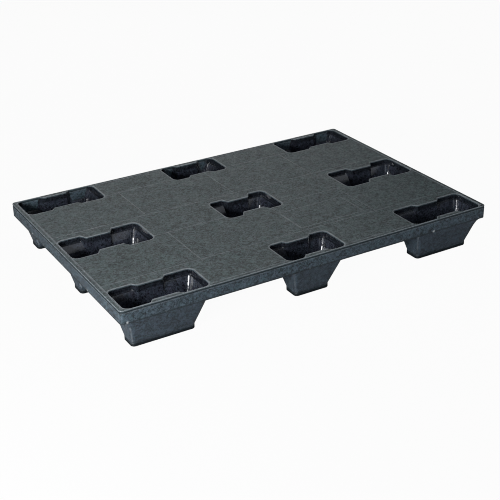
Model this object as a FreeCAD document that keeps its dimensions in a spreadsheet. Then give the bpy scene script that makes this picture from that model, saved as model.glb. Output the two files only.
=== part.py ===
import FreeCAD, Part
import os
import math
import Sketcher
from FreeCAD import Vector, Placement, Rotation

# Nestable closed-deck plastic pallet, 1200 x 800 mm, on nine hollow feet.
# Frame: origin on the floor under the middle of the pallet, +X along the
# 1200 mm side, +Y towards the back 1200 mm edge, +Z up.
# The pallet is one injection moulding.  Its regions are modelled as separate
# solids that meet face to face: deck panel, edge skirt, nine feet, rib fields.

os.makedirs("parts", exist_ok=True)
doc = FreeCAD.newDocument("plastic_pallet")

# -------------------------------------------------------- driving dimensions
DIMENSIONS = [   # alias, value in mm (or degrees where noted), note
    ("deck_length", 1200.0, "outside length over the skirts"),
    ("deck_width", 800.0, "outside width over the skirts"),
    ("total_height", 135.0, "floor to deck"),
    ("plate_thick", 4.0, "deck plate"),
    ("wall_thick", 4.0, "walls of skirt and feet"),
    ("lip_depth", 8.0, "deck edge band, above the skirt"),
    ("shadow_deep", 2.2, "shadow groove between deck edge and skirt"),
    ("foot_setback", 1.2, "front faces of the feet stand this far inside the skirt face"),
    ("skirt_depth", 40.0, "deck top to lower edge of the skirt"),
    ("corner_round", 10.0, "plan radius of the pallet corners"),
    ("edge_round", 2.0, "radius along the top of the deck edge"),
    ("rim_round", 1.6, "radius along the top of the cup openings"),
    ("strip_short", 14.5, "deck strip between short edge and cup opening"),
    ("cup_side_len", 248.5, "opening length of the six side cups"),
    ("cup_mid_len", 191.0, "opening length of the three centre cups"),
    ("cup_row_wide", 115.0, "opening width, front and back rows"),
    ("cup_mid_wide", 130.0, "opening width, middle row"),
    ("cup_round", 18.5, "plan radius of the opening corners"),
    ("pinch_wide", 89.0, "opening width at the pinch, all cups"),
    ("pinch_side_len", 74.0, "length of the pinch, side cups"),
    ("pinch_mid_len", 70.0, "length of the pinch, centre cups"),
    ("pinch_run", 12.0, "length of each slanting flank of the pinch"),
    ("pinch_out", 3.0, "side cups: pinch lies this far outside the cup's middle"),
    ("pinch_round", 5.5, "radius on the pinch corners"),
    ("pinch_draft", 3.0, "draft of the pinch walls, degrees"),
    ("pinch_deep", 92.0, "pinch walls run down this far"),
    ("reveal_deep", 18.0, "upright wall below the rim, down to the ledge"),
    ("ledge_thick", 4.0, "ledge under the upright wall"),
    ("ledge_long", 7.0, "ledge width towards the middle, along the length"),
    ("ledge_end", 4.0, "ledge width at the outer short end"),
    ("ledge_cross", 5.0, "ledge width across"),
    ("collar_high", 12.0, "upright band at the bottom of a foot"),
    ("collar_proud", 0.7, "the band stands out this far"),
    ("sole_thick", 4.0, "bottom of a foot"),
    ("sole_round", 3.0, "radius under a foot"),
    ("foot_end_x", 560.0, "outer end of a side foot at the floor"),
    ("foot_in_x", 373.0, "inner end of a side foot at the floor"),
    ("foot_mid_x", 56.5, "half length of a centre foot at the floor"),
    ("foot_out_y", 367.0, "outer face of a front or back foot at the floor"),
    ("foot_in_y", 312.0, "inner face of a front or back foot at the floor"),
    ("foot_mid_y", 27.5, "half width of a middle-row foot at the floor"),
    ("foot_end_sx", 579.5, "outer end of a side foot at the skirt edge"),
    ("foot_in_sx", 347.0, "inner end of a side foot at the skirt edge"),
    ("foot_mid_sx", 84.5, "half length of a centre foot at the skirt edge"),
    ("foot_in_sy", 290.0, "inner face of a front or back foot at the skirt edge"),
    ("foot_mid_sy", 54.5, "half width of a middle-row foot at the skirt edge"),
    ("flare_out", 12.0, "flare of the outer short end into the skirt"),
    ("flare_high", 22.0, "height of that flare"),
    ("foot_round_top", 17.0, "upright corner radius at the skirt edge"),
    ("foot_round_low", 12.0, "upright corner radius at the floor"),
    ("rib_thick", 3.0, "ribs under the deck"),
    ("rib_deep", 24.0, "ribs under the deck"),
    ("line_wide", 1.6, "mould joint lines in the deck face"),
    ("line_deep", 0.5, "mould joint lines in the deck face"),
    ("border_short", 11.3, "border line, in from the short edges"),
    ("border_long", 11.3, "border line, in from the long edges"),
    ("border_wide", 2.4, "border line"),
    ("border_deep", 0.8, "border line"),
]


class Expr:
    """A number together with the spreadsheet formula that gives it."""

    def __init__(self, value, text):
        self.value = value
        self.text = text

    def __add__(self, other):
        other = expr(other)
        return Expr(self.value + other.value, "(%s + %s)" % (self.text, other.text))

    def __sub__(self, other):
        other = expr(other)
        return Expr(self.value - other.value, "(%s - %s)" % (self.text, other.text))

    def __mul__(self, other):
        other = expr(other)
        return Expr(self.value * other.value, "(%s * %s)" % (self.text, other.text))

    def __truediv__(self, other):
        other = expr(other)
        return Expr(self.value / other.value, "(%s / %s)" % (self.text, other.text))

    def __rmul__(self, other):
        return expr(other) * self

    def __neg__(self):
        return Expr(-self.value, "(-%s)" % self.text)


def expr(number):
    """Wrap a plain number; an Expr passes through."""
    return number if isinstance(number, Expr) else Expr(float(number), "(%.7f)" % number)


class Dimensions:
    """Every driving dimension as an attribute, bound to its sheet alias."""


dim = Dimensions()
sheet = doc.addObject("Spreadsheet::Sheet", "Sheet")
for row_number, (alias, size, note) in enumerate(DIMENSIONS, start=1):
    sheet.set("A%d" % row_number, alias)
    sheet.set("B%d" % row_number, "%g" % size)
    sheet.set("C%d" % row_number, note)
    sheet.setAlias("B%d" % row_number, alias)
    setattr(dim, alias, Expr(size, "Sheet." + alias))
doc.recompute()

# Derived levels and limits
TOP = dim.total_height
UNDER = TOP - dim.plate_thick
SKIRT_Z = TOP - dim.skirt_depth
LEDGE_Z = TOP - dim.reveal_deep
WALL = dim.wall_thick
HALF_LENGTH = dim.deck_length / 2
HALF_WIDTH = dim.deck_width / 2
X_AXIS, Y_AXIS = Vector(1, 0, 0), Vector(0, 1, 0)


# ------------------------------------------------------------ binding helpers
def bind(obj, prop, formula):
    obj.setExpression(prop, expr(formula).text)


def drive(obj, prop, formula):
    """Set a property now and bind it to its formula."""
    setattr(obj, prop, expr(formula).value)
    bind(obj, prop, formula)


def drive_constraint(sketch, constraint, tag, formula):
    index = sketch.addConstraint(constraint)
    sketch.renameConstraint(index, tag)
    bind(sketch, "Constraints." + tag, formula)


def pin(sketch, kind, geometry, point, value, formula, tag):
    """Fix one coordinate of a point; the stored distance is never negative."""
    if value >= 0:
        constraint = Sketcher.Constraint(kind, -1, 1, geometry, point, value)
    else:
        constraint = Sketcher.Constraint(kind, geometry, point, -1, 1, -value)
        formula = -formula
    drive_constraint(sketch, constraint, tag, formula)


# ------------------------------------------------------------ sketch outlines
def origin_feature(body, role):
    return [f for f in body.Origin.OriginFeatures if f.Role == role][0]


def round_corner(before, corner, after, radius):
    """Tangent points on both sides and centre of a corner arc."""
    back = (before - corner).normalize()
    ahead = (after - corner).normalize()
    half_angle = math.acos(max(-1, min(1, back.dot(ahead)))) / 2
    reach = radius / math.tan(half_angle)
    centre = corner + (back + ahead).normalize() * (radius / math.sin(half_angle))
    return corner + back * reach, corner + ahead * reach, centre


def add_arc(sketch, start, end, centre, radius):
    """Add the short arc.  Returns its index and whether it runs end to start."""
    angle_0 = math.atan2(start.y - centre.y, start.x - centre.x)
    angle_1 = math.atan2(end.y - centre.y, end.x - centre.x)
    flipped = (angle_1 - angle_0) % (2 * math.pi) > math.pi
    if flipped:
        angle_0, angle_1 = angle_1, angle_0
    if angle_1 < angle_0:
        angle_1 += 2 * math.pi
    circle = Part.Circle(centre, Vector(0, 0, 1), radius)
    return sketch.addGeometry(Part.ArcOfCircle(circle, angle_0, angle_1), False), flipped


def profile(body, name, z, points, rounds):
    """Closed outline at height z through (x, y) points, with one radius per
    corner (0 for a sharp corner).  Fully constrained from the origin."""
    sketch = body.newObject("Sketcher::SketchObject", name)
    sketch.AttachmentSupport = (origin_feature(body, "XY_Plane"), "")
    sketch.MapMode = "FlatFace"
    sketch.AttachmentOffset = Placement(Vector(0, 0, expr(z).value), Rotation())
    bind(sketch, "AttachmentOffset.Base.z", z)

    count = len(points)
    rounds = [expr(r) for r in rounds]
    corners = [Vector(x.value, y.value, 0) for x, y in points]
    starts, ends, centres = [], [], []
    for i, corner in enumerate(corners):
        start, end, centre = corner, corner, None
        if rounds[i].value > 0:
            start, end, centre = round_corner(corners[i - 1], corner, corners[(i + 1) % count],
                                              rounds[i].value)
        starts.append(start)
        ends.append(end)
        centres.append(centre)

    lines = [sketch.addGeometry(Part.LineSegment(ends[i], starts[(i + 1) % count]), False)
             for i in range(count)]
    arcs = [None if centres[i] is None
            else add_arc(sketch, starts[i], ends[i], centres[i], rounds[i].value)
            for i in range(count)]

    joints = []
    for i in range(count):
        if arcs[i] is None:
            joints.append(Sketcher.Constraint("Coincident", lines[i - 1], 2, lines[i], 1))
        else:
            arc, flipped = arcs[i]
            first, last = (2, 1) if flipped else (1, 2)
            joints.append(Sketcher.Constraint("Tangent", lines[i - 1], 2, arc, first))
            joints.append(Sketcher.Constraint("Tangent", arc, last, lines[i], 1))
    sketch.addConstraint(joints)

    for i, (x, y) in enumerate(points):
        corner, centre, radius = corners[i], centres[i], rounds[i]
        if arcs[i] is None:
            pin(sketch, "DistanceX", lines[i], 1, corner.x, x, "x%d" % i)
            pin(sketch, "DistanceY", lines[i], 1, corner.y, y, "y%d" % i)
            continue
        arc = arcs[i][0]
        # the centre lies a fixed number of radii from the sharp corner
        x_formula = x + (centre.x - corner.x) / radius.value * radius
        y_formula = y + (centre.y - corner.y) / radius.value * radius
        pin(sketch, "DistanceX", arc, 3, centre.x, x_formula, "x%d" % i)
        pin(sketch, "DistanceY", arc, 3, centre.y, y_formula, "y%d" % i)
        drive_constraint(sketch, Sketcher.Constraint("Radius", arc, radius.value),
                         "r%d" % i, radius)
    return sketch


def rectangle(body, name, z, x_limits, y_limits, radius):
    (x0, x1), (y0, y1) = x_limits, y_limits
    return profile(body, name, z, [(x0, y0), (x1, y0), (x1, y1), (x0, y1)], [radius] * 4)


# ----------------------------------------------------------- solid operations
def new_body(label):
    body = doc.addObject("PartDesign::Body", label)
    body.Label = label
    return body


def pad(body, name, sketch, length, down=False, taper=None):
    feature = body.newObject("PartDesign::Pad", name)
    feature.Profile = sketch
    drive(feature, "Length", length)
    feature.Reversed = down
    if taper is not None:
        drive(feature, "TaperAngle", taper)
    return feature


def pocket(body, name, sketch, length):
    feature = body.newObject("PartDesign::Pocket", name)
    feature.Profile = sketch
    drive(feature, "Length", length)
    return feature


def loft(body, name, sketches):
    feature = body.newObject("PartDesign::AdditiveLoft", name)
    feature.Profile = sketches[0]
    feature.Sections = sketches[1:]
    feature.Ruled = True
    return feature


def fillet_level(body, name, base, z, radius):
    """Round all edges of base that lie flat at height z."""
    doc.recompute()
    level = expr(z).value
    edges = []
    for k, edge in enumerate(base.Shape.Edges, start=1):
        box = edge.BoundBox
        if abs(box.ZMin - level) < 1e-4 and abs(box.ZMax - level) < 1e-4:
            edges.append("Edge%d" % k)
    feature = body.newObject("PartDesign::Fillet", name)
    feature.Base = (base, edges)
    drive(feature, "Radius", radius)
    return feature


def pattern(body, name, base, axis, length, count):
    feature = body.newObject("PartDesign::LinearPattern", name)
    feature.Originals = [base]
    feature.Direction = (origin_feature(body, axis), [""])
    drive(feature, "Length", length)
    feature.Occurrences = count
    body.Tip = feature
    return feature


def make_box(label, size, corner):
    box = doc.addObject("Part::Box", label)
    box.Label = label
    for prop, value in zip(("Length", "Width", "Height"), size):
        bind(box, prop, value)
    for axis, value in zip("xyz", corner):
        bind(box, "Placement.Base." + axis, value)
    return box


def cut(label, base, tool):
    result = doc.addObject("Part::Cut", label)
    result.Label = label
    result.Base, result.Tool = base, tool
    return result


def fuse(label, shapes):
    result = doc.addObject("Part::MultiFuse", label)
    result.Shapes = shapes
    return result


def mirrored(label, source, normal):
    result = doc.addObject("Part::Mirroring", label)
    result.Label = label
    result.Source = source
    result.Base = Vector(0, 0, 0)
    result.Normal = normal
    return result


# ---------------------------------------------------------------------- feet
# Four shapes are drawn: corner, front centre, middle-row side, middle centre.
# The other five are mirror images.  Each foot is an outer solid less a cavity;
# the cavity is pinched near half length by two near-upright bulges.

INNER_ROUND_LESS = 3.0      # cavity corner radii are this much below the foot's
REVEAL_ROUND_MORE = 2.0     # outside corner radius of the reveal over the opening's
FLOOR_ROUND = 3.0           # radius around the cavity floor
CAVITY_OVERRUN = 1.0        # the cavity runs on above the deck
BULGE_OVERRUN = 2.0         # the bulges run on above the deck
BULGE_BACK = 30.0           # back of a bulge, behind the opening edge
BULGE_WING = 20.0           # a bulge widens behind the wall, at each end
BULGE_WING_BACK = 4.0       # and slants back this far over that length

FLARE_STEPS = [   # name, part of flare_high below the skirt edge, part of flare_out, added radius
    ("flare_low", 1.0, 0.0, 3.0),
    ("flare_mid", 0.35, 0.30, 4.0),
]

# quarter round along a rim in four flats: (outwards, below the top) in radii
RIM_STEPS = [(round(1 - math.cos(math.radians(a)), 5), round(1 - math.sin(math.radians(a)), 5))
             for a in (0, 22.5, 45, 67.5, 90)]


def inset(limits, low, high):
    """Move the low and high limits inwards."""
    return limits[0] + low, limits[1] - high


def grow(limits, low, high):
    """Move the low and high limits outwards."""
    return limits[0] - low, limits[1] + high


def centred(half):
    return -half, half


def foot_limits(opening, ledge, floor, skirt, upper=None, walls=(WALL, WALL), **extra):
    """Limits of a foot along one axis.  opening: at the deck; ledge: widths of
    the ledge; floor and skirt: outside at the floor and the skirt edge;
    upper: outside just above the skirt edge; walls: wall at either side."""
    return dict(opening=opening, ledge=inset(opening, *ledge), floor=floor, skirt=skirt,
                upper=upper or skirt, walls=walls, **extra)


SIDE_START = dim.strip_short - HALF_LENGTH
SIDE_COLUMN = foot_limits(
    opening=(SIDE_START, SIDE_START + dim.cup_side_len),
    ledge=(dim.ledge_end, dim.ledge_long),
    floor=(-dim.foot_end_x, -dim.foot_in_x),
    skirt=(-dim.foot_end_sx, -dim.foot_in_sx),
    pinch_len=dim.pinch_side_len, pinch_shift=dim.pinch_out, flared=True)
CENTRE_COLUMN = foot_limits(
    opening=centred(dim.cup_mid_len / 2),
    ledge=(dim.ledge_long, dim.ledge_long),
    floor=centred(dim.foot_mid_x),
    skirt=centred(dim.foot_mid_sx),
    pinch_len=dim.pinch_mid_len, pinch_shift=0, flared=False)

# front feet have no front wall of their own above the skirt edge: the skirt is there
SKIRT_INSIDE = WALL - HALF_WIDTH
FRONT_ROW = foot_limits(
    opening=(SKIRT_INSIDE, SKIRT_INSIDE + dim.cup_row_wide),
    ledge=(0, dim.ledge_cross),
    floor=(-dim.foot_out_y, -dim.foot_in_y),
    skirt=(dim.foot_setback - HALF_WIDTH, -dim.foot_in_sy),
    upper=(SKIRT_INSIDE, -dim.foot_in_sy),
    walls=(0, WALL))
MIDDLE_ROW = foot_limits(
    opening=centred(dim.cup_mid_wide / 2),
    ledge=(dim.ledge_cross, dim.ledge_cross),
    floor=centred(dim.foot_mid_y),
    skirt=centred(dim.foot_mid_sy))


def flare_sections(body, column, row):
    """Sections where the outer short end starts to flare into the skirt."""
    sections = []
    for name, height_part, out_part, added_round in FLARE_STEPS:
        z = SKIRT_Z - height_part * dim.flare_high
        rise = (z - dim.collar_high) / (SKIRT_Z - dim.collar_high)
        x_limits, y_limits = [
            [low + (high - low) * rise for low, high in zip(axis["floor"], axis["skirt"])]
            for axis in (column, row)]
        x_limits[0] = x_limits[0] - out_part * dim.flare_out
        sections.append(rectangle(body, name, z, x_limits, y_limits,
                                  dim.foot_round_low + added_round))
    return sections


def foot_outer(label, column, row):
    """Outside of a foot: taper, upper part, reveal wall and collar."""
    body = new_body(label + "_outer")
    low_round, top_round = dim.foot_round_low, dim.foot_round_top
    sections = [rectangle(body, "low", dim.collar_high, column["floor"], row["floor"], low_round)]
    edge_x = column["skirt"]
    if column["flared"]:
        sections += flare_sections(body, column, row)
        edge_x = grow(edge_x, dim.flare_out, 0)
    sections.append(rectangle(body, "skirt_edge", SKIRT_Z, edge_x, row["skirt"], top_round))
    loft(body, "taper", sections)

    ledge_under = LEDGE_Z - dim.ledge_thick
    lower = rectangle(body, "upper_low", SKIRT_Z, column["upper"], row["upper"], top_round)
    upper = rectangle(body, "upper_top", ledge_under, grow(column["ledge"], *column["walls"]),
                      grow(row["ledge"], *row["walls"]), top_round)
    loft(body, "upper", [lower, upper])

    reveal = rectangle(body, "reveal", ledge_under, grow(column["opening"], *column["walls"]),
                       grow(row["opening"], *row["walls"]), dim.cup_round + REVEAL_ROUND_MORE)
    pad(body, "reveal_wall", reveal, dim.reveal_deep + dim.ledge_thick - dim.plate_thick)

    proud = dim.collar_proud
    plan = rectangle(body, "collar_plan", 0, grow(column["floor"], proud, proud),
                     grow(row["floor"], proud, proud), low_round)
    collar = pad(body, "collar", plan, dim.collar_high)
    body.Tip = fillet_level(body, "sole_edge", collar, 0, dim.sole_round)
    return body


def foot_cavity(label, column, row):
    """Inside of a foot, open upwards through the deck."""
    body = new_body(label + "_cavity")
    low_round = dim.foot_round_low - INNER_ROUND_LESS
    top_round = dim.foot_round_top - INNER_ROUND_LESS
    low_x, low_y = inset(column["floor"], WALL, WALL), inset(row["floor"], WALL, WALL)
    edge_x = inset(column["upper"], *column["walls"])
    edge_y = inset(row["upper"], *row["walls"])

    low = rectangle(body, "low", dim.collar_high, low_x, low_y, low_round)
    edge = rectangle(body, "skirt_edge", SKIRT_Z, edge_x, edge_y, top_round)
    ledge = rectangle(body, "ledge", LEDGE_Z, column["ledge"], row["ledge"], top_round)
    loft(body, "taper", [low, edge])
    edge_up = rectangle(body, "skirt_edge_up", SKIRT_Z, edge_x, edge_y, top_round)
    loft(body, "upper", [edge_up, ledge])

    def opening(name, z, out):
        return rectangle(body, name, z, grow(column["opening"], out, out),
                         grow(row["opening"], out, out), dim.cup_round + out)

    pad(body, "opening_up", opening("opening", LEDGE_Z, 0), dim.reveal_deep - dim.rim_round)
    loft(body, "rim_round", [opening("rim%d" % k, TOP - below * dim.rim_round, out * dim.rim_round)
                             for k, (out, below) in enumerate(RIM_STEPS)])
    pad(body, "above_up", opening("above", TOP, dim.rim_round), CAVITY_OVERRUN)

    floor = rectangle(body, "floor", dim.sole_thick, low_x, low_y, low_round)
    floor_up = pad(body, "floor_up", floor, dim.collar_high - dim.sole_thick)
    body.Tip = fillet_level(body, "floor_edge", floor_up, dim.sole_thick, FLOOR_ROUND)
    return body


def bulge_plan(body, name, z, column, row, side, out):
    """Plan of the bulge on the front (side 0) or back (side 1) long wall,
    drawn back by out times the rim radius."""
    inward = 1 if side == 0 else -1
    back_off = out * dim.rim_round
    step = (row["opening"][1] - row["opening"][0] - dim.pinch_wide) / 2
    slant = math.atan2(step.value, dim.pinch_run.value)

    edge_y = row["opening"][side]
    wall_y = edge_y - inward * back_off
    face_y = wall_y + inward * step
    back_y = edge_y - inward * BULGE_BACK
    wing_y = wall_y - inward * BULGE_WING_BACK

    middle = (column["opening"][0] + column["opening"][1]) / 2 - column["pinch_shift"]
    shrink = round(out * math.tan(slant / 2), 5)   # keeps the slanting flanks parallel
    half = column["pinch_len"] / 2 - shrink * dim.rim_round
    left, right = middle - half, middle + half
    foot_left, foot_right = left - dim.pinch_run, right + dim.pinch_run
    wing_left, wing_right = foot_left - BULGE_WING, foot_right + BULGE_WING

    points = [(wing_left, back_y), (wing_left, wing_y), (foot_left, wall_y), (left, face_y),
              (right, face_y), (foot_right, wall_y), (wing_right, wing_y), (wing_right, back_y)]
    convex, concave = dim.pinch_round - back_off, dim.pinch_round + back_off
    rounds = [0, 0, concave, convex, convex, concave, 0, 0]
    if side == 0:
        points, rounds = points[::-1], rounds[::-1]
    return profile(body, name, z, points, rounds)


def foot_pinch(label, column, row):
    """Bulges on both long walls; their tops follow the rounded rim."""
    body = new_body(label + "_pinch")
    for side in (0, 1):
        name = "bulge%d" % side
        plan = bulge_plan(body, name, TOP - dim.rim_round, column, row, side, 0.0)
        pad(body, "bulge_down%d" % side, plan, dim.pinch_deep, down=True, taper=dim.pinch_draft)
        loft(body, name + "_rim", [
            bulge_plan(body, "%s_rim%d" % (name, k), TOP - below * dim.rim_round,
                       column, row, side, out)
            for k, (out, below) in enumerate(RIM_STEPS)])
        above = bulge_plan(body, name + "_above", TOP, column, row, side, 1.0)
        body.Tip = pad(body, "bulge_up%d" % side, above, BULGE_OVERRUN)
    return body


def make_foot(label, column, row):
    """Returns the foot and the space inside it."""
    outer = foot_outer(label, column, row)
    cavity = foot_cavity(label, column, row)
    pinch = foot_pinch(label, column, row)
    doc.recompute()
    space = cut(label + "_space", cavity, pinch)
    foot = cut(label, outer, space)
    doc.recompute()
    return foot, space


DRAWN_FEET = [   # place, limits along X, limits along Y
    ("front_left", SIDE_COLUMN, FRONT_ROW),
    ("front_centre", CENTRE_COLUMN, FRONT_ROW),
    ("middle_left", SIDE_COLUMN, MIDDLE_ROW),
    ("middle_centre", CENTRE_COLUMN, MIDDLE_ROW),
]
MIRRORED_FEET = [   # place, place it is mirrored from, mirror normal
    ("front_right", "front_left", X_AXIS),
    ("back_left", "front_left", Y_AXIS),
    ("back_right", "back_left", X_AXIS),
    ("back_centre", "front_centre", Y_AXIS),
    ("middle_right", "middle_left", X_AXIS),
]


def make_feet():
    """All nine feet and the spaces inside them, both keyed by place."""
    feet, spaces = {}, {}
    for place, column, row in DRAWN_FEET:
        feet[place], spaces[place] = make_foot("foot_" + place, column, row)
    for place, source, normal in MIRRORED_FEET:
        initials = "".join(word[0] for word in place.split("_"))
        feet[place] = mirrored("foot_" + place, feet[source], normal)
        spaces[place] = mirrored("space_" + initials, spaces[source], normal)
    doc.recompute()
    return feet, spaces


# ---------------------------------------------------------------- deck panel
GROOVE_TOOL_HIGH = 2.0
PLATE_X = (50.0, 270.0)        # rectangle framed by lines, in the front half
PLATE_Y = (-235.0, -112.0)
PLATE_MID_X, PLATE_LONG = sum(PLATE_X) / 2, PLATE_X[1] - PLATE_X[0]
PLATE_MID_Y, PLATE_WIDE = sum(PLATE_Y) / 2, PLATE_Y[1] - PLATE_Y[0]
BORDER_X = HALF_LENGTH - dim.border_short
BORDER_Y = HALF_WIDTH - dim.border_long

DECK_LINES = [   # name, centre x, centre y, direction, length
    ("line_left_front", -290, -156, "y", 210),
    ("line_left_back", -290, 191, "y", 200),
    ("line_right_front", 300, -156, "y", 210),
    ("line_right_back", 300, 191, "y", 200),
    ("line_mid_back", 12, 191, "y", 200),
    ("line_mid_front", 47, -144, "y", 186),
    ("line_row_front", 0, -252, "x", BORDER_X * 2),
    ("line_centre_front", 0, -50, "x", BORDER_X * 2),
    ("line_centre_back", 0, 92, "x", BORDER_X * 2),
    ("line_row_back", 0, 291, "x", BORDER_X * 2),
    ("border_left", -BORDER_X, 0, "y", BORDER_Y * 2),
    ("border_right", BORDER_X, 0, "y", BORDER_Y * 2),
    ("border_front", 0, -BORDER_Y, "x", BORDER_X * 2),
    ("border_back", 0, BORDER_Y, "x", BORDER_X * 2),
    ("plate_front", PLATE_MID_X, PLATE_Y[0], "x", PLATE_LONG),
    ("plate_back", PLATE_MID_X, PLATE_Y[1], "x", PLATE_LONG),
    ("plate_left", PLATE_X[0], PLATE_MID_Y, "y", PLATE_WIDE),
    ("plate_right", PLATE_X[1], PLATE_MID_Y, "y", PLATE_WIDE),
]


def deck_plate():
    """Deck plate with its edge band, set back by the shadow groove."""
    body = new_body("deck_plate")

    def plan(name, z, back):
        return rectangle(body, name, z, centred(HALF_LENGTH - back), centred(HALF_WIDTH - back),
                         dim.corner_round - back)

    band_high = dim.lip_depth - dim.plate_thick
    pad(body, "edge_band", plan("band_plan", TOP - dim.lip_depth, dim.shadow_deep), band_high)
    block = pad(body, "deck_block", plan("deck_plan", UNDER, 0), dim.plate_thick)
    fillet_level(body, "top_edge", block, TOP, dim.edge_round)
    body.Tip = pocket(body, "under_pocket", plan("under_plan", UNDER, WALL), band_high)
    doc.recompute()
    return body


def deck_groove(name, centre_x, centre_y, direction, length):
    """Cutting box for one line in the deck face."""
    wide, deep = dim.line_wide, dim.line_deep
    if name.startswith("border"):
        wide, deep = dim.border_wide, dim.border_deep
    size_x, size_y = (length, wide) if direction == "x" else (wide, length)
    corner = (expr(centre_x) - expr(size_x) / 2, expr(centre_y) - expr(size_y) / 2, TOP - deep)
    return make_box(name, (size_x, size_y, GROOVE_TOOL_HIGH), corner)


def make_deck(spaces):
    """Deck plate opened over the cups, with lines cut into its face."""
    plate = deck_plate()
    cup_spaces = fuse("cup_spaces", list(spaces.values()))
    doc.recompute()
    deck_open = cut("deck_open", plate, cup_spaces)
    doc.recompute()
    deck_lines = fuse("deck_lines", [deck_groove(*line) for line in DECK_LINES])
    panel = cut("deck_panel", deck_open, deck_lines)
    doc.recompute()
    return panel


# --------------------------------------------------------------- edge skirts
SKIRT_HIGH = dim.skirt_depth - dim.lip_depth
ARC_CLEARANCE = 0.01   # leaves a short straight between a corner arc and the wall's end


def skirt_long(label, side):
    """Front (side -1) or back (side +1) skirt with both rounded corners."""
    body = new_body(label)
    outer_x, inner_x = HALF_LENGTH, HALF_LENGTH - WALL
    outer_y, inner_y = side * HALF_WIDTH, side * (HALF_WIDTH - WALL)
    end_y = side * (HALF_WIDTH - dim.corner_round)
    points = [(-outer_x, outer_y), (outer_x, outer_y), (outer_x, end_y), (inner_x, end_y),
              (inner_x, inner_y), (-inner_x, inner_y), (-inner_x, end_y), (-outer_x, end_y)]
    outer_round = dim.corner_round - ARC_CLEARANCE
    inner_round = outer_round - WALL
    rounds = [outer_round, outer_round, 0, 0, inner_round, inner_round, 0, 0]
    if side > 0:
        points, rounds = points[::-1], rounds[::-1]
    plan = profile(body, label + "_plan", SKIRT_Z, points, rounds)
    body.Tip = pad(body, label + "_wall", plan, SKIRT_HIGH)
    return body


def skirt_short(label, x):
    """Straight skirt wall between the rounded corners, starting at x."""
    return make_box(label, (WALL, dim.deck_width - 2 * dim.corner_round, SKIRT_HIGH),
                    (x, dim.corner_round - HALF_WIDTH, SKIRT_Z))


def make_skirts():
    skirts = {
        "skirt_front": skirt_long("skirt_front", -1),
        "skirt_back": skirt_long("skirt_back", 1),
        "skirt_left": skirt_short("skirt_left", -HALF_LENGTH),
        "skirt_right": skirt_short("skirt_right", HALF_LENGTH - WALL),
    }
    doc.recompute()
    return skirts


# -------------------------------------------------------- ribs under the deck
def rib_row(body, name, x_limits, y_limits, axis, span, count):
    """One rib, repeated along an axis."""
    plan = rectangle(body, name, UNDER, x_limits, y_limits, 0)
    rib = pad(body, name + "_pad", plan, dim.rib_deep, down=True)
    doc.recompute()
    pattern(body, name + "_row", rib, axis, span, count)


def rib_field(label, x_limits, y_limits, cross_count, along_count, edge):
    """Lattice of crosswise and lengthwise ribs inside the given limits.
    With edge set, the outermost lengthwise ribs run along the limits."""
    body = new_body(label)
    thick = dim.rib_thick
    width = y_limits[1] - y_limits[0]
    if edge:
        start, span = y_limits[0], width - thick
    else:
        pitch = width / (along_count + 1)
        start, span = y_limits[0] + pitch - thick / 2, pitch * (along_count - 1)
    rib_row(body, label + "_along", x_limits, (start, start + thick), "Y_Axis", span, along_count)

    pitch = (x_limits[1] - x_limits[0]) / (cross_count + 1)
    start, span = x_limits[0] + pitch - thick / 2, pitch * (cross_count - 1)
    rib_row(body, label + "_cross", (start, start + thick), y_limits, "X_Axis", span, cross_count)
    doc.recompute()
    return body


FRONT_ROW_BACK = FRONT_ROW["opening"][1] + WALL
MIDDLE_ROW_FRONT = MIDDLE_ROW["opening"][0] - WALL
BETWEEN_CUPS_X = (SIDE_COLUMN["opening"][1] + WALL, CENTRE_COLUMN["opening"][0] - WALL)
RIB_FIELDS = [   # label, x limits, y limits, crosswise ribs, lengthwise ribs, edge ribs
    ("ribs_front_band", centred(HALF_LENGTH - WALL), (FRONT_ROW_BACK, MIDDLE_ROW_FRONT),
     21, 5, True),
    ("ribs_front_row_left", BETWEEN_CUPS_X, (SKIRT_INSIDE, FRONT_ROW_BACK), 3, 2, False),
    ("ribs_middle_row_left", BETWEEN_CUPS_X, (MIDDLE_ROW_FRONT, -MIDDLE_ROW_FRONT), 3, 2, False),
]
MIRRORED_RIBS = [   # label, label it is mirrored from, mirror normal
    ("ribs_back_band", "ribs_front_band", Y_AXIS),
    ("ribs_front_row_right", "ribs_front_row_left", X_AXIS),
    ("ribs_middle_row_right", "ribs_middle_row_left", X_AXIS),
    ("ribs_back_row_left", "ribs_front_row_left", Y_AXIS),
    ("ribs_back_row_right", "ribs_back_row_left", X_AXIS),
]


def make_ribs():
    ribs = {field[0]: rib_field(*field) for field in RIB_FIELDS}
    for label, source, normal in MIRRORED_RIBS:
        ribs[label] = mirrored(label, ribs[source], normal)
    doc.recompute()
    return ribs


# -------------------------------------------------------------------- output
def export(nodes):
    failed = [o.Name for o in doc.Objects if any(w in o.State for w in ("Invalid", "Error"))]
    if failed:
        raise RuntimeError("failed objects: " + ", ".join(failed))
    for label, node in nodes.items():
        shape = node.Shape
        if shape.isNull() or not shape.isValid() or len(shape.Solids) != 1 or shape.Volume <= 0:
            raise RuntimeError("bad shape: " + label)
    for label, node in nodes.items():
        node.Shape.exportStep("parts/%s.step" % label)


all_feet, all_spaces = make_feet()
pieces = {"deck_panel": make_deck(all_spaces)}
pieces.update(make_skirts())
pieces.update({"foot_" + place: foot for place, foot in all_feet.items()})
pieces.update(make_ribs())
export(pieces)
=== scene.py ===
"""Looks and studio for a moulded plastic piece: a deck on cup-shaped feet with a skirt and ribs.

Metres. The deck is level, centred on x = y = 0 and longer in x; the feet stand on z = 0.
The CAD pieces keep their meshes. This script gives them materials and builds a floor,
a world, lights and a camera that looks from the -x, -y side and from above.
"""
import bpy
import math
from functools import reduce
from mathutils import Matrix, Vector


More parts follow.
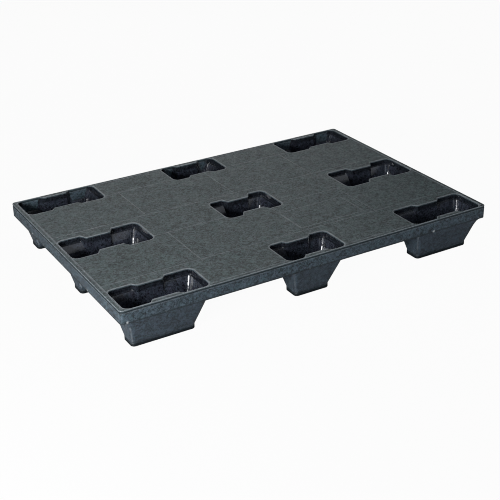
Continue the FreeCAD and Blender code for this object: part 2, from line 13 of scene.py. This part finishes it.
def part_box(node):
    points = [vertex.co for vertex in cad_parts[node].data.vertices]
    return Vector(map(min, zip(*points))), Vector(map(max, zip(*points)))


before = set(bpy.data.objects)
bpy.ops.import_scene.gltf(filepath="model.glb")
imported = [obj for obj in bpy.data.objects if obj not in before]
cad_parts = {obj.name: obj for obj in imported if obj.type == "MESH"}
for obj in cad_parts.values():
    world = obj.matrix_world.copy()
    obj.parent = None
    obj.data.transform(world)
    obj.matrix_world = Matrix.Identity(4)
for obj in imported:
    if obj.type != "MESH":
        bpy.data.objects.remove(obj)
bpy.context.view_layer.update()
scene = bpy.context.scene


# --------------------------------------------------------------- node writing
class Value:
    """A node's output. Sums written with it become math nodes."""

    def __init__(self, nodes, socket):
        self.nodes = nodes
        self.socket = socket

    def __add__(self, other):
        return self.nodes.math("ADD", self, other)

    def __radd__(self, other):
        return self.nodes.math("ADD", other, self)

    def __sub__(self, other):
        return self.nodes.math("SUBTRACT", self, other)

    def __rsub__(self, other):
        return self.nodes.math("SUBTRACT", other, self)

    def __mul__(self, other):
        return self.nodes.math("MULTIPLY", self, other)

    def __abs__(self):
        return self.nodes.math("ABSOLUTE", self)

    def max(self, other):
        return self.nodes.math("MAXIMUM", self, other)

    def min(self, other):
        return self.nodes.math("MINIMUM", self, other)

    def step(self, over, to=(0.0, 1.0)):
        """Smooth change from to[0] to to[1] as this goes from over[0] to over[1]."""
        limits = dict(zip(("From Min", "From Max", "To Min", "To Max"), (*over, *to)))
        return self.nodes.node("MapRange", {"Value": self, **limits},
                               interpolation_type="SMOOTHSTEP")


class Nodes:
    """Writes the node tree of a material or world, starting from nothing."""

    def __init__(self, owner):
        owner.use_nodes = True
        self.owner = owner
        self.tree = owner.node_tree
        self.tree.nodes.clear()

    def node(self, kind, inputs, output=0, **settings):
        """Add a node; inputs maps socket names or numbers to Values, numbers or tuples."""
        node = self.tree.nodes.new("ShaderNode" + kind)
        for key, setting in settings.items():
            setattr(node, key, setting)
        for key, value in inputs.items():
            socket = node.inputs[key]
            if isinstance(value, Value):
                self.tree.links.new(value.socket, socket)
            elif socket.type == "RGBA":
                socket.default_value = (*value, 1.0)
            else:
                socket.default_value = value
        return Value(self, node.outputs[output]) if node.outputs else None

    def math(self, operation, first, second=0.0):
        return self.node("Math", {0: first, 1: second}, operation=operation)

    def blend(self, base, other, share):
        """Colour that goes from base to other as share goes from 0 to 1."""
        return self.node("Mix", {0: share, 6: base, 7: other}, output=2, data_type="RGBA")


class Plastic(Nodes):
    """A plastic material whose patterns are placed by object coordinates."""

    def __init__(self, name):
        super().__init__(bpy.data.materials.new(name))
        self.position = self.node("TexCoord", {}, "Object")
        self.true_normal = self.node("NewGeometry", {}, "True Normal")

    def split(self, vector):
        """The x, y and z of a vector."""
        first = self.node("SeparateXYZ", {0: vector})
        return [Value(self, socket) for socket in first.socket.node.outputs]

    def stretched(self, scale, turn=0.0):
        """Position scaled per axis and turned about z."""
        return self.node("Mapping", {"Vector": self.position, "Scale": scale,
                                     "Rotation": (0, 0, turn)})

    def noise(self, scale, detail=2.0, rough=0.6, vector=None):
        return self.node("TexNoise", {"Vector": vector or self.position, "Scale": scale,
                                      "Detail": detail, "Roughness": rough}, "Fac")

    def cells(self, scale, output="Distance"):
        return self.node("TexVoronoi", {"Vector": self.position, "Scale": scale}, output)

    def flecks(self, scale):
        """One even random value for each small cell."""
        return self.node("SeparateColor", {0: self.cells(scale, "Color")})

    def tint(self, colour, by):
        return self.node("Mix", {0: 1.0, 6: colour, 7: by}, output=2,
                         data_type="RGBA", blend_type="MULTIPLY")

    def edges(self, radius):
        """1 on convex and concave edges, fading out over radius."""
        bevel = self.node("Bevel", {"Radius": radius}, samples=4)
        facing = self.node("VectorMath", {0: bevel, 1: self.true_normal}, "Value",
                           operation="DOT_PRODUCT")
        return facing.step(over=(0.985, 0.86))

    def relief(self, *layers):
        """Stack bumps, first layer lowest. Columns: pattern, depth, strength."""
        below = {}
        for pattern, depth, strength in layers:
            normal = self.node("Bump", {"Height": pattern, "Distance": depth,
                                        "Strength": strength, **below})
            below = {"Normal": normal}
        return normal

    def uneven_roughness(self, scale, to):
        return self.noise(scale, detail=3.0).step(over=(0.2, 0.8), to=to)

    def cloudy(self, base, drift=0.12, speck=1.0):
        """Colour drift of recycled plastic: patches, mottling and fine speckle."""
        level = (self.noise(scale=3.1, detail=3.0, rough=0.55) - 0.5) * drift
        # columns: scale, gain
        mottling = ((48.0, 4.2 * drift), (125.0, 5.2 * drift), (330.0, 7.0 * drift * speck))
        for scale, gain in mottling:
            level = level + (self.noise(scale, detail=1.0, rough=0.5) - 0.5) * gain
        for scale, gain in ((310.0, 0.80), (160.0, 0.52), (80.0, 0.12)):
            level = level + (self.flecks(scale) - 0.5) * (gain * speck)
        body = self.blend(shade(base, 0.22), shade(base, 1.78), share=level + 0.5)
        turned = self.stretched(scale=(1.0, 1.0, 1.0), turn=1.1)
        hue = (self.noise(scale=70.0, vector=turned) - 0.5) * 2.2 + 0.5
        cool = self.tint(body, by=(0.93, 1.02, 1.02))
        warm = self.tint(body, by=(1.10, 0.97, 1.07))
        return self.blend(cool, warm, share=hue)

    def finish(self, colour, roughness, normal, specular=0.5):
        shader = self.node("BsdfPrincipled", {
            "Base Color": colour, "Roughness": roughness, "Normal": normal,
            "Specular IOR Level": specular, "Coat Roughness": 0.3})
        self.node("OutputMaterial", {"Surface": shader})
        return self.owner


def shade(colour, factor):
    return tuple(part * factor for part in colour)


# ------------------------------------------------------------------ materials
GREY = (0.037, 0.054, 0.064)         # recycled grey-black polyethylene, slightly blue
GREEN = (0.046, 0.065, 0.065)
FOOT_OUTSIDE = (0.032, 0.047, 0.059)
# the inside colours are the foot plastic darkened as painted shade, deepest on the upper inside
# wall
SHADED_FOOT_INSIDE = (0.021, 0.025, 0.033)
SHADED_FOOT_INSIDE_TOP = (0.009, 0.011, 0.014)
PALE_WEAR_AND_HIGHLIGHT = (0.26, 0.28, 0.30)            # rubbed and stress-whitened plastic, also used as painted highlight
KNOCK = (0.45, 0.47, 0.48)
DOT = (0.5, 0.52, 0.53)

# Cup openings in the deck, mirrored in x and y
CUP_CORNER = 0.0185                  # corner radius
WAIST_HALF_WIDTH = 0.0445            # half width in y where the outline narrows
WAIST_RUN = 0.012                    # length in x over which it narrows
# centre x, half length, waist centre x, waist half length
CUP_COLUMNS = ((0.46125, 0.12425, 0.46425, 0.037), (0.0, 0.0955, 0.0, 0.035))
# centre y, half width
CUP_ROWS = ((0.3385, 0.0575), (0.0, 0.065))

# Thin lines on the deck's top
LINE_END_FADE = 0.001
# x of the line, its first y, its last y
LINES_ALONG_Y = (
    (-0.290, -0.261, -0.051), (0.300, -0.261, -0.051),
    (-0.290, 0.091, 0.291), (0.300, 0.091, 0.291),
    (0.012, 0.091, 0.291), (0.047, -0.237, -0.051),
    (0.050, -0.235, -0.112), (0.270, -0.235, -0.112),
)
# y of the line, its first x, its last x
LINES_ALONG_X = (
    (-0.252, -0.5875, 0.5875), (-0.050, -0.5875, 0.5875),
    (0.092, -0.5875, 0.5875), (0.291, -0.5875, 0.5875),
    (-0.235, 0.050, 0.270), (-0.112, 0.050, 0.270),
)
BORDER_X, BORDER_Y = 0.5887, 0.3887  # border line's distance from the middle

KNOCK_LEVEL = 0.0985                 # height of the knocks on skirt and feet


def opening_distance(nodes, side_x, side_y):
    """Distance outside the nearest cup outline, from |x| and |y|; negative over a cup."""
    distances = []
    for centre_x, half_length, waist_x, waist_half in CUP_COLUMNS:
        past_x = abs(side_x - centre_x) + (CUP_CORNER - half_length)
        along = abs(side_x - waist_x)
        for centre_y, half_width in CUP_ROWS:
            waist = along.step(over=(waist_half + WAIST_RUN, waist_half),
                               to=(0.0, half_width - WAIST_HALF_WIDTH))
            past_y = abs(side_y - centre_y) + waist + (CUP_CORNER - half_width)
            out_x, out_y = past_x.max(0.0), past_y.max(0.0)
            outside = nodes.math("SQRT", out_x * out_x + out_y * out_y)
            distances.append(outside + past_x.max(past_y).min(0.0) - CUP_CORNER)
    return reduce(Value.min, distances)


def thin_line(across, along, place, start, end):
    """1 on a line at across = place, between start and end."""
    body = abs(across - place).step(over=(0.0030, 0.0008))
    begun = along.step(over=(start - LINE_END_FADE, start + LINE_END_FADE))
    unended = along.step(over=(end + LINE_END_FADE, end - LINE_END_FADE))
    return body * (begun * unended)


def scuffs(nodes):
    """Fine crossing scratches in patches; 0 to 1."""
    long_y = nodes.stretched(scale=(1.0, 0.045, 1.0), turn=0.5)
    long_x = nodes.stretched(scale=(0.05, 1.0, 1.0), turn=-0.3)
    first = nodes.noise(scale=60.0, vector=long_y).step(over=(0.63, 0.71))
    second = nodes.noise(scale=75.0, vector=long_x).step(over=(0.65, 0.72))
    return first.max(second) * nodes.noise(scale=7.0).step(over=(0.45, 0.70))


def knocks(nodes, z, where):
    """Short pale dashes around KNOCK_LEVEL, kept to the mask where."""
    near = abs(z - KNOCK_LEVEL).step(over=(0.0048, 0.0012))
    turned = nodes.stretched(scale=(1.0, 1.0, 0.4), turn=0.3)
    dash = nodes.noise(scale=52.0, detail=3.0, rough=0.65, vector=turned)
    return near * dash.step(over=(0.63, 0.70)) * where


def deck_material():
    """Grained on the top face; smoother on the sides and below, where painted shade darkens it.
    """
    t = Plastic("deck_grained_plastic")
    x, y, z = t.split(t.position)
    normal_z = t.split(t.true_normal)[2]
    top = normal_z.step(over=(0.90, 0.99))
    high = z.step(over=(0.1325, 0.1332))
    rim = normal_z.step(over=(0.10, 0.35)) * (1.0 - top) * high
    low = z.step(over=(0.1312, 0.1300))
    colour = t.cloudy(GREEN)
    # painted shade: faces that do not face up are darkened towards a dark grey
    colour = t.blend(colour, shade(GREY, 0.8), share=(1.0 - top) * 0.75)
    # painted shade: the deck below about 130 mm, the groove under the lip, is painted dark
    colour = t.blend(colour, shade(GREY, 0.30), share=low * 0.75)

    # thin lines read a little paler; the border line carries a painted highlight, strongest at
    # its x ends
    lines = reduce(Value.max, [thin_line(x, y, *row) for row in LINES_ALONG_Y]
                   + [thin_line(y, x, *row) for row in LINES_ALONG_X])
    lines = lines * (top * t.noise(scale=22.0).step(over=(0.25, 0.60)))
    side_x, side_y = abs(x), abs(y)
    ends = abs(side_x - BORDER_X).step(over=(0.0034, 0.0010)) * side_y.step(over=(0.391, 0.388))
    flanks = abs(side_y - BORDER_Y).step(over=(0.0034, 0.0010)) * side_x.step(over=(0.591, 0.588))
    border_line_highlight = ends.max(flanks) * (high * t.noise(scale=14.0, detail=3.0).step(over=(0.15, 0.60)))
    ends_highlight = abs(side_x - BORDER_X).step(over=(0.0040, 0.0030))
    colour = t.blend(colour, PALE_WEAR_AND_HIGHLIGHT, share=lines * 0.06)
    colour = t.blend(colour, PALE_WEAR_AND_HIGHLIGHT, share=border_line_highlight * (0.14 + ends_highlight * 0.50))
    colour = t.blend(colour, PALE_WEAR_AND_HIGHLIGHT, share=scuffs(t) * top * 0.10)

    # rings round the cups, upper edges and the rim are pale: partly wear, partly painted
    # highlight
    ring_highlight = opening_distance(t, side_x, side_y).step(over=(0.0062, 0.0018)) * (high * top)
    wear_and_highlight = ring_highlight.max(t.edges(radius=0.0022) * high).max(rim)
    wear_and_highlight = wear_and_highlight * t.noise(scale=30.0, detail=3.0, rough=0.7).step(over=(0.10, 0.60))
    colour = t.blend(colour, PALE_WEAR_AND_HIGHLIGHT, share=wear_and_highlight * 0.62)

    # both fine patterns weaken away from the top face
    grain = t.noise(scale=1150.0, rough=0.55) * 0.6 + t.cells(scale=620.0) * 0.5
    grain = (grain - 0.45) * (0.12 + top * 0.88)
    pebble = (t.noise(scale=300.0) - 0.5) * (0.15 + top * 0.85)
    normal = t.relief((grain, 0.00022, 0.65),
                      (pebble, 0.00030, 0.45),
                      (t.noise(scale=9.0, rough=0.5), 0.0016, 0.35))
    roughness = t.uneven_roughness(scale=34.0, to=(0.46, 0.60))
    # lines, sides, rim and rings are glossier
    roughness = roughness - lines * 0.14 - (1.0 - top) * 0.22 - rim * 0.18 - ring_highlight * 0.12
    return t.finish(colour, roughness, normal)


def skirt_material():
    t = Plastic("skirt_satin_plastic")
    z = t.split(t.position)[2]
    colour = t.cloudy(GREY, speck=0.90)
    squeezed = t.stretched(scale=(0.35, 0.35, 1.6))
    rub = t.noise(scale=120.0, detail=4.0, rough=0.7, vector=squeezed).step(over=(0.60, 0.72))
    rub = rub * t.noise(scale=9.0).step(over=(0.48, 0.68))
    colour = t.blend(colour, PALE_WEAR_AND_HIGHLIGHT, share=rub * 0.18)

    # darker towards the lower edge; painted highlight along the upper edge
    low_band_darkening = z.step(over=(0.1020, 0.0960))
    colour = t.blend(colour, shade(GREY, 0.25), share=low_band_darkening * 0.80)
    # painted highlight along the upper edge, in patches
    crest_highlight = z.step(over=(0.1232, 0.1262))
    crest_highlight = crest_highlight * t.noise(scale=26.0, detail=3.0, rough=0.65).step(over=(0.20, 0.62))
    colour = t.blend(colour, PALE_WEAR_AND_HIGHLIGHT, share=crest_highlight * 0.16)
    # pale edges: partly wear, partly painted highlight, stronger higher up
    edge_wear_and_highlight = t.noise(scale=40.0, detail=3.0, rough=0.7).step(over=(0.32, 0.60))
    edge_wear_and_highlight = edge_wear_and_highlight * z.step(over=(0.100, 0.118), to=(0.10, 0.30))
    colour = t.blend(colour, PALE_WEAR_AND_HIGHLIGHT, share=t.edges(radius=0.0016) * edge_wear_and_highlight)
    colour = t.blend(colour, KNOCK, share=knocks(t, z, where=1.0) * 0.75)

    normal = t.relief((t.noise(scale=900.0, rough=0.5), 0.00012, 0.5),
                      (t.noise(scale=300.0), 0.00022, 0.40),
                      (t.noise(scale=14.0, rough=0.5), 0.0012, 0.30))
    roughness = t.uneven_roughness(scale=50.0, to=(0.34, 0.50)) + rub * 0.12 - crest_highlight * 0.08
    return t.finish(colour, roughness, normal)


def foot_material(name, centre_x, centre_y):
    """Satin outside like the skirt, polished inside the cup and darkened there by painted shade.
    """
    t = Plastic(name)
    x, y, z = t.split(t.position)
    normal_x, normal_y, normal_z = t.split(t.true_normal)
    # y counts three times, as the normal is compared with the way out from the centre
    outward = normal_x * (x - centre_x) + normal_y * (y - centre_y) * 3.0
    inside = outward.step(over=(0.004, -0.004))
    facing_up = normal_z.step(over=(0.6, 0.9)) * z.step(over=(0.130, 0.126))
    inside = inside.max(facing_up)
    outer = 1.0 - inside
    # painted shade: the cup's inside is darker than the outside, darkest on the upper inside wall
    inner_shaded_colour = t.blend(t.cloudy(SHADED_FOOT_INSIDE, drift=0.14, speck=0.7),
                           t.cloudy(SHADED_FOOT_INSIDE_TOP, speck=0.7),
                           share=z.step(over=(0.112, 0.122)))
    colour = t.blend(t.cloudy(FOOT_OUTSIDE, speck=0.72), inner_shaded_colour, share=inside)

    # upright rubs from stacking, and small pale dots high up
    upright = t.stretched(scale=(1.0, 1.0, 0.12))
    rub = t.noise(scale=160.0, detail=4.0, rough=0.7, vector=upright).step(over=(0.58, 0.74))
    colour = t.blend(colour, PALE_WEAR_AND_HIGHLIGHT, share=rub * 0.07)
    dots = t.cells(scale=95.0).step(over=(0.07, 0.035))
    dots = dots * t.noise(scale=23.0).step(over=(0.58, 0.64)) * z.step(over=(0.085, 0.093))
    colour = t.blend(colour, DOT, share=dots * (0.8 - inside * 0.6))

    # upright corners pale: partly wear, partly painted highlight; painted shade darkens the
    # bottom band
    corner_wear_and_highlight = abs(normal_x * normal_y).step(over=(0.36, 0.48)) * outer
    corner_wear_and_highlight = corner_wear_and_highlight * t.noise(scale=30.0, detail=3.0, rough=0.7).step(over=(0.26, 0.60))
    colour = t.blend(colour, PALE_WEAR_AND_HIGHLIGHT, share=corner_wear_and_highlight * 0.55)
    # painted shade: the bottom band and sole of the outside are darkened
    low_band_darkening = z.step(over=(0.0165, 0.0120)) * outer
    colour = t.blend(colour, shade(GREY, 0.30), share=low_band_darkening * 0.55)
    foot_sole_painted_shade = z.step(over=(0.0130, 0.0060)) * outer
    colour = t.blend(colour, shade(GREY, 0.12), share=foot_sole_painted_shade * 0.88)
    colour = t.blend(colour, KNOCK, share=knocks(t, z, where=outer) * 0.75)
    # pale edges: partly wear, partly painted highlight
    patches = t.noise(scale=34.0, detail=3.0, rough=0.7).step(over=(0.34, 0.62))
    wear_and_highlight = t.edges(radius=0.0018) * patches
    colour = t.blend(colour, PALE_WEAR_AND_HIGHLIGHT, share=wear_and_highlight * (0.26 - inside * 0.14))

    normal = t.relief((t.noise(scale=760.0, rough=0.5), 0.00009, 0.5),
                      (t.noise(scale=280.0), 0.00018, 0.35),
                      (t.noise(scale=16.0, rough=0.5), 0.0014, 0.30))
    # dirt is dull, worn corners are glossier
    dirt = z.step(over=(0.0150, 0.0080)) * outer
    rough_outside = t.uneven_roughness(scale=44.0, to=(0.36, 0.50)) - corner_wear_and_highlight * 0.10 + dirt * 0.25
    rough_inside = t.uneven_roughness(scale=38.0, to=(0.12, 0.21))
    roughness = rough_outside * outer + rough_inside * inside
    return t.finish(colour, roughness, normal, specular=0.5 - dirt * 0.38)


def rib_material():
    t = Plastic("rib_plain_plastic")
    colour = t.cloudy(shade(GREY, 0.85))
    level = t.stretched(scale=(0.4, 0.4, 2.2))
    flow = t.noise(scale=30.0, detail=3.0, vector=level).step(over=(0.42, 0.70))
    colour = t.blend(colour, PALE_WEAR_AND_HIGHLIGHT, share=flow * 0.05)
    colour = t.blend(colour, PALE_WEAR_AND_HIGHLIGHT, share=t.edges(radius=0.0012) * 0.10)
    normal = t.relief((t.noise(scale=520.0, rough=0.5), 0.00010, 0.5),
                      (t.noise(scale=18.0, rough=0.5), 0.0010, 0.3))
    return t.finish(colour, t.uneven_roughness(scale=40.0, to=(0.40, 0.55)), normal)


def paint(piece, material):
    for slot in piece.material_slots:
        slot.link = "OBJECT"
        slot.material = material
    if not piece.material_slots:
        piece.data.materials.append(material)


deck, skirt, rib = deck_material(), skirt_material(), rib_material()
for name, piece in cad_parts.items():
    if name.startswith("deck"):
        paint(piece, deck)
    elif name.startswith("skirt"):
        paint(piece, skirt)
    elif name.startswith("foot"):
        low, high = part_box(name)
        paint(piece, foot_material("foot_plastic_" + name[5:],
                                   (low.x + high.x) / 2, (low.y + high.y) / 2))
    else:
        paint(piece, rib)


# ---------------------------------------------------------------------- stage
def add_object(name, data):
    added = bpy.data.objects.new(name, data)
    scene.collection.objects.link(added)
    return added


def grid_sheet(name, half, cells, rise, flat_share):
    """A level square of quads that curves up beyond flat_share of half, out of view."""
    verts, faces = [], []
    for j in range(cells + 1):
        for i in range(cells + 1):
            x = -half + 2 * half * i / cells
            y = -half + 2 * half * j / cells
            beyond = max(0.0, math.hypot(x, y) / half - flat_share)
            verts.append((x, y, rise * beyond ** 2))
    for j in range(cells):
        for i in range(cells):
            a = j * (cells + 1) + i
            faces.append((a, a + 1, a + cells + 2, a + cells + 1))
    mesh = bpy.data.meshes.new(name)
    mesh.from_pydata(verts, [], faces)
    return add_object(name, mesh)


def floor_material():
    """Pale grey to light, but almost pure white to the camera."""
    t = Nodes(bpy.data.materials.new("pale_floor"))
    patches = t.node("TexNoise", {"Scale": 2.0}, "Fac")
    grey = t.blend((0.36, 0.36, 0.36), (0.39, 0.39, 0.39), share=patches)
    matt = t.node("BsdfDiffuse", {"Color": grey})
    glow = t.node("Emission", {"Color": (1, 1, 1), "Strength": 1.0})
    glow_share = t.node("LightPath", {}, "Is Camera Ray") * 0.96
    both = t.node("MixShader", {0: glow_share, 1: matt, 2: glow})
    t.node("OutputMaterial", {"Surface": both})
    return t.owner


def white_world():
    """White to the camera; only a faint cool fill to everything else."""
    t = Nodes(scene.world)
    fill = t.node("Background", {"Color": (0.97, 1.0, 1.04), "Strength": 0.012})
    seen = t.node("Background", {"Color": (1, 1, 1), "Strength": 1.0})
    to_camera = t.node("LightPath", {}, "Is Camera Ray")
    both = t.node("MixShader", {0: to_camera, 1: fill, 2: seen})
    t.node("OutputWorld", {"Surface": both})


floor = grid_sheet("studio_floor", half=14.0, cells=28, rise=3.0, flat_share=0.8)
floor.location.z = -0.0006
floor.data.materials.append(floor_material())
scene.world = bpy.data.worlds.new("studio")
white_world()

# --------------------------------------------------------------------- lights
LIGHT_AIM = Vector((0, 0, 0.1))
# name, place, width, height, power in watts, colour
SOFTBOXES = (
    ("key_left", (-2.0, -1.22, 0.80), 0.72, 0.48, 56.0, (0.98, 0.995, 1.01)),
    ("strip_low", (-2.1, -1.22, 0.47), 0.30, 0.30, 6.5, (0.97, 1.0, 1.02)),
    ("front_right", (1.06, -2.1, 1.1), 3.0, 1.9, 16.5, (0.94, 1.0, 1.08)),
    ("back_soft", (0.8, 2.8, 1.3), 3.0, 1.0, 11.7, (0.99, 1.0, 1.01)),
    ("left_soft", (-2.6, 0.2, 0.9), 1.4, 0.9, 8.0, (1.0, 1.0, 1.0)),
    ("top_soft", (0.3, 0.9, 2.6), 2.6, 2.0, 18.7, (1.0, 1.0, 1.0)),
)
for name, place, width, height, power, colour in SOFTBOXES:
    light = bpy.data.lights.new(name, "AREA")
    light.shape = "RECTANGLE"
    light.size, light.size_y = width, height
    light.energy = power
    light.color = colour
    lamp = add_object(name, light)
    lamp.location = place
    lamp.rotation_mode = "QUATERNION"
    lamp.rotation_quaternion = (LIGHT_AIM - Vector(place)).to_track_quat("-Z", "Y")

# --------------------------------------------------------------------- camera
CAMERA_PLACE = Vector((-1.4964, -2.6050, 1.4738))
CAMERA_RIGHT = Vector((0.8605, -0.5092, -0.0192))
CAMERA_BACK = Vector((-0.4485, -0.7748, 0.4456))     # away from the view

camera = add_object("camera", bpy.data.cameras.new("camera"))
camera.data.sensor_width = 36.0      # mm
camera.data.lens = 77.958            # mm
camera.data.clip_start, camera.data.clip_end = 0.05, 60.0
# the two measured directions are not quite square, so right is squared to back
back = CAMERA_BACK.normalized()
up = back.cross(CAMERA_RIGHT.normalized()).normalized()
right = up.cross(back).normalized()
pose = Matrix((right, up, back)).transposed().to_4x4()
pose.translation = CAMERA_PLACE
camera.matrix_world = pose
scene.camera = camera
scene.cycles.filter_width = 1.0
scene.view_settings.view_transform = "Standard"
scene.view_settings.look = "None"
